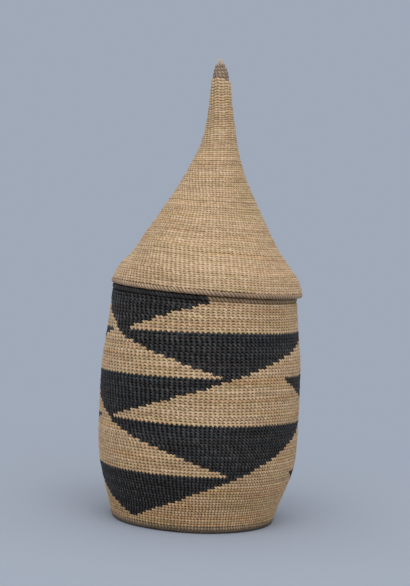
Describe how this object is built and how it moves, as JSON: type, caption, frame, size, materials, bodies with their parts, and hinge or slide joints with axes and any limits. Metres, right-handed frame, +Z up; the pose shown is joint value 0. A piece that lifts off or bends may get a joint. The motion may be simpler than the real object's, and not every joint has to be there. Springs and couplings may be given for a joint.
{
  "type": "lidded coil basket",
  "caption": "Small round coil basket with a slightly bellied body, a dark zigzag of inverted triangles and a tall cone lid that runs into a spire and lifts off.",
  "frame": {"origin": "middle of the basket's foot, on the surface it stands on", "axes": "+Z up along the basket's axis, -Y the front seen in the picture, +X to the viewer's right"},
  "size_m": [0.1148, 0.1147, 0.263],
  "materials": {
    "natural_coil": "dry grass coils",
    "natural_strip": "satin leaf fibre strips",
    "dyed_strip": "dyed leaf fibre strips",
    "foot_binding": "worn fibre",
    "rim_binding": "brown fibre, overcast",
    "fibre_bundle": "loose fibre ends",
    "tip_cord": "brown cord"
  },
  "bodies": {
    "basket": {"base_start_knot": "natural_coil", "base_coil_disc": "natural_coil", "foot_coil": "foot_binding", "body_coil_wall": "natural_coil", "natural_stitching": "natural_strip", "dark_stitching_front": "dyed_strip", "dark_stitching_back": "dyed_strip", "mouth_rim_coil": "rim_binding", "inner_collar": "natural_coil", "collar_edge_coil": "natural_coil"},
    "lid": {"lid_coil_wall": "natural_coil", "lid_stitching": "natural_strip", "lid_rim_coil": "rim_binding", "spire_bundle": "fibre_bundle", "tip_binding": "tip_cord"}
  },
  "joints": [
    {"name": "lid_lift", "type": "slide", "parent": "basket", "child": "lid", "axis": [0, 0, 1], "range_m": [0, 0.15]}
  ]
}
